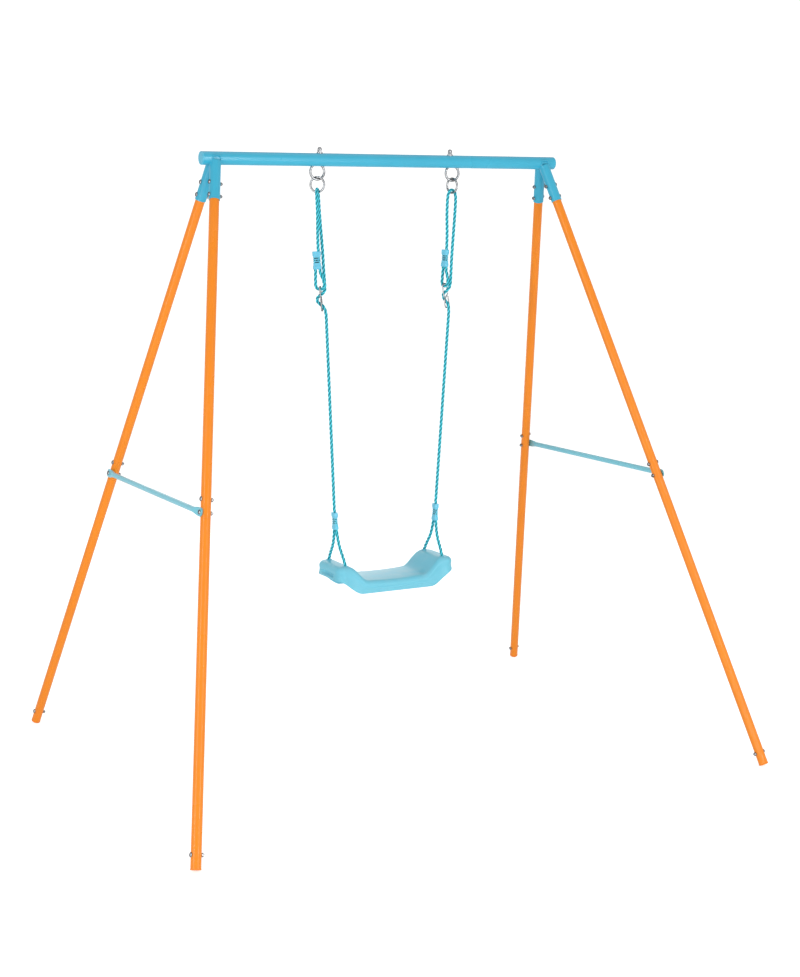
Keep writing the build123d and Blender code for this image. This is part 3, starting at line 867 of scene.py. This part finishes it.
def zinc_steel():
    """Bright zinc plate: cloudy patches, fine drawn lines, and painted shade darkening it where it turns
    away from the view.
    """
    material, tree, shader = new_finish("zinc_steel")
    place = node(tree, "ShaderNodeTexCoord").outputs["Object"]
    cloud = node(tree, "ShaderNodeTexNoise", Scale=190.0, Detail=5.0)
    drawn = node(tree, "ShaderNodeTexNoise", Scale=900.0, Detail=3.0)
    wire(tree, (place, cloud.inputs["Vector"]), (place, drawn.inputs["Vector"]))
    tone = mixed(tree, ranged(tree, cloud.outputs["Fac"], 0, 1), (0.30, 0.31, 0.33), (0.62, 0.63, 0.64))
    # painted shade: the colour darkens towards the rims, where the surface turns away from the view
    edge = node(tree, "ShaderNodeLayerWeight")
    edge.inputs["Blend"].default_value = 0.5
    turned = node(tree, "ShaderNodeMapRange")
    turned.inputs["From Min"].default_value = 0.15
    turned.inputs["From Max"].default_value = 0.75
    wire(tree, (edge.outputs["Facing"], turned.inputs["Value"]))
    metal_and_rim_shade = mixed(tree, turned.outputs["Result"], tone, (0.035, 0.038, 0.042))
    wire(tree, (metal_and_rim_shade, shader.inputs["Base Color"]))
    wire(tree, (ranged(tree, cloud.outputs["Fac"], 0.16, 0.32), shader.inputs["Roughness"]))
    bumped(tree, shader, drawn.outputs["Fac"], 0.12, 0.0001)
    shader.inputs["Metallic"].default_value = 1.0
    shader.inputs["Specular Tint"].default_value = (0.35, 0.36, 0.38, 1)
    return material


def rope_fibre():
    """Twisted polypropylene: yarn lines aslant on each strand, fuzz, and painted shade in the hollows
    between strands.
    """
    material, tree, shader = new_finish("rope_fibre")
    texture = node(tree, "ShaderNodeTexCoord")
    split = node(tree, "ShaderNodeSeparateXYZ")
    wire(tree, (texture.outputs["UV"], split.inputs[0]))
    slant = node(tree, "ShaderNodeMath", operation="MULTIPLY_ADD")
    slant.inputs[1].default_value = 260.0
    turn = node(tree, "ShaderNodeMath", operation="MULTIPLY")
    turn.inputs[1].default_value = 7.0
    phase = node(tree, "ShaderNodeMath", operation="MULTIPLY")
    phase.inputs[1].default_value = 2 * math.pi
    wave = node(tree, "ShaderNodeMath", operation="SINE")
    around = node(tree, "ShaderNodeMath", operation="MULTIPLY")
    around.inputs[1].default_value = 2 * math.pi
    outward = node(tree, "ShaderNodeMath", operation="COSINE")
    # painted shade: each strand turns darker where it faces in towards the others
    hollow = node(tree, "ShaderNodeMapRange", interpolation_type="SMOOTHSTEP")
    hollow.inputs["From Min"].default_value = 0.72
    hollow.inputs["From Max"].default_value = 0.26
    fuzz = node(tree, "ShaderNodeTexNoise", Scale=1400.0, Detail=4.0)
    tint = node(tree, "ShaderNodeTexNoise", Scale=70.0, Detail=3.0)
    lines = node(tree, "ShaderNodeMapRange")
    lines.inputs["From Min"].default_value = -1.0
    wire(
        tree,
        (split.outputs["X"], turn.inputs[0]),
        (split.outputs["Y"], slant.inputs[0]),
        (turn.outputs[0], slant.inputs[2]),
        (slant.outputs[0], phase.inputs[0]),
        (phase.outputs[0], wave.inputs[0]),
        (wave.outputs[0], lines.inputs["Value"]),
        (split.outputs["X"], around.inputs[0]),
        (around.outputs[0], outward.inputs[0]),
        (outward.outputs[0], hollow.inputs["Value"]),
        (texture.outputs["Object"], fuzz.inputs["Vector"]),
        (texture.outputs["Object"], tint.inputs["Vector"]),
    )
    yarn = mixed(tree, lines.outputs["Result"], (0.022, 0.52, 0.66), (0.045, 0.72, 0.86))
    worn = mixed(tree, ranged(tree, tint.outputs["Fac"], 0.0, 0.5), yarn, (0.06, 0.76, 0.88))
    # painted shade mixed in at the hollows between strands
    deep = mixed(tree, hollow.outputs["Result"], worn, (0.004, 0.20, 0.26))
    wire(tree, (deep, shader.inputs["Base Color"]))
    height = node(tree, "ShaderNodeMath", operation="MULTIPLY_ADD")
    height.inputs[1].default_value = 0.3
    wire(tree, (fuzz.outputs["Fac"], height.inputs[0]), (lines.outputs["Result"], height.inputs[2]))
    bumped(tree, shader, height.outputs[0], 0.5, 0.0003)
    wire(tree, (ranged(tree, tint.outputs["Fac"], 0.45, 0.6), shader.inputs["Roughness"]))
    shader.inputs["Sheen Weight"].default_value = 0.15
    return material


FINISHES = {
    "beam_paint": powder_paint("beam_paint", (0.050, 0.46, 0.66), (0.044, 0.43, 0.62)),
    "leg_paint": powder_paint("leg_paint", (0.93, 0.265, 0.006), (0.89, 0.245, 0.005)),
    "brace_paint": powder_paint("brace_paint", (0.21, 0.62, 0.74), (0.19, 0.58, 0.70)),
    "blue_plastic": moulded_plastic(
        "blue_plastic", (0.10, 0.52, 0.72), (0.09, 0.48, 0.67), 0.36, 0.0012, 0.0001),
    "orange_plastic": moulded_plastic(
        "orange_plastic", (0.92, 0.265, 0.008), (0.86, 0.24, 0.007), 0.42, 0.0012, 0.0001),
    "zinc_steel": zinc_steel(),
    "rope_fibre": rope_fibre(),
    "ferrule_plastic": moulded_plastic(
        "ferrule_plastic", (0.17, 0.62, 0.82), (0.14, 0.56, 0.77), 0.34, 0.0010, 0.0001,
        milky=0.1, grooves=True),
    "seat_plastic": moulded_plastic(
        "seat_plastic", (0.175, 0.60, 0.75), (0.155, 0.56, 0.71), 0.38, 0.0011, 0.00012, milky=0.08),
}


def dress():
    """Give every CAD node and every new piece the finish of its slot."""
    slots = {part["node"]: part["material_slot"] for part in frame["record"]["subparts"]}
    for name, thing in frame["nodes"].items():
        thing.data.materials.clear()
        thing.data.materials.append(FINISHES[slots[name]])
    for thing in bpy.context.scene.objects:
        if thing.type == "MESH" and "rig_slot" in thing:
            thing.data.materials.clear()
            thing.data.materials.append(FINISHES[thing["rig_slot"]])


dress()


# ---------------------------------------------------------------------------
# Floor and light
# ---------------------------------------------------------------------------

def make_stage():
    """White paper sweep: a flat floor that curves up, far behind, into a wall all round."""
    bend = np.linspace(0, np.pi / 2, 20)
    radius = np.concatenate([np.linspace(0, 9, 14), 9 + 5 * np.sin(bend[1:]), [14.0]])
    height = np.concatenate([np.zeros(14), 5 - 5 * np.cos(bend[1:]), [9.0]])
    points = revolved(np.column_stack([radius, height]), 96)
    sweep = bpy.data.objects.new("paper_sweep", weld(build_mesh("paper_sweep", [points])))
    bpy.context.scene.collection.objects.link(sweep)
    material, tree, shader = new_finish("white_paper")
    shader.inputs["Base Color"].default_value = (0.62, 0.62, 0.62, 1)
    shader.inputs["Roughness"].default_value = 1.0
    shader.inputs["Specular IOR Level"].default_value = 0.0
    shader.inputs["Emission Color"].default_value = (1, 1, 1, 1)
    seen = node(tree, "ShaderNodeLightPath")
    glow = node(tree, "ShaderNodeMapRange")
    glow.inputs["To Min"].default_value = 0.32
    glow.inputs["To Max"].default_value = 0.72
    wire(tree, (seen.outputs["Is Camera Ray"], glow.inputs["Value"]))
    wire(tree, (glow.outputs["Result"], shader.inputs["Emission Strength"]))
    sweep.data.materials.append(material)
    world = bpy.data.worlds.new("studio")
    bpy.context.scene.world = world
    world.use_nodes = True
    world.node_tree.nodes["Background"].inputs["Color"].default_value = (1, 1, 1, 1)
    world.node_tree.nodes["Background"].inputs["Strength"].default_value = 0.56


def soft_light(name, place, aim, width, height, power):
    """A rectangular lamp at a place, turned to face its aim; power in watts."""
    data = bpy.data.lights.new(name, "AREA")
    data.shape = "RECTANGLE"
    data.size = width
    data.size_y = height
    data.energy = power
    lamp = bpy.data.objects.new(name, data)
    bpy.context.scene.collection.objects.link(lamp)
    lamp.location = place
    lamp.rotation_mode = "QUATERNION"
    lamp.rotation_quaternion = (Vector(aim) - Vector(place)).to_track_quat("-Z", "Y")


make_stage()
soft_light("left_strip", (-3.3, -1.4, 1.6), (0, 0, 1.3), 0.35, 3.0, 24)
soft_light("right_strip", (0.9, -3.7, 1.6), (0, 0, 1.3), 0.35, 3.0, 28)
soft_light("low_strip", (-0.6, -3.3, 0.08), (0, 0, 1.5), 5.0, 0.35, 32)
soft_light("rear_fill", (1.2, 4.2, 1.4), (0, 0, 1.0), 3.0, 2.4, 26)
soft_light("top_light", (0.5, 0.5, 5.5), (0, 0, 0.5), 4.0, 3.0, 20)
bpy.context.scene.view_settings.view_transform = "Standard"
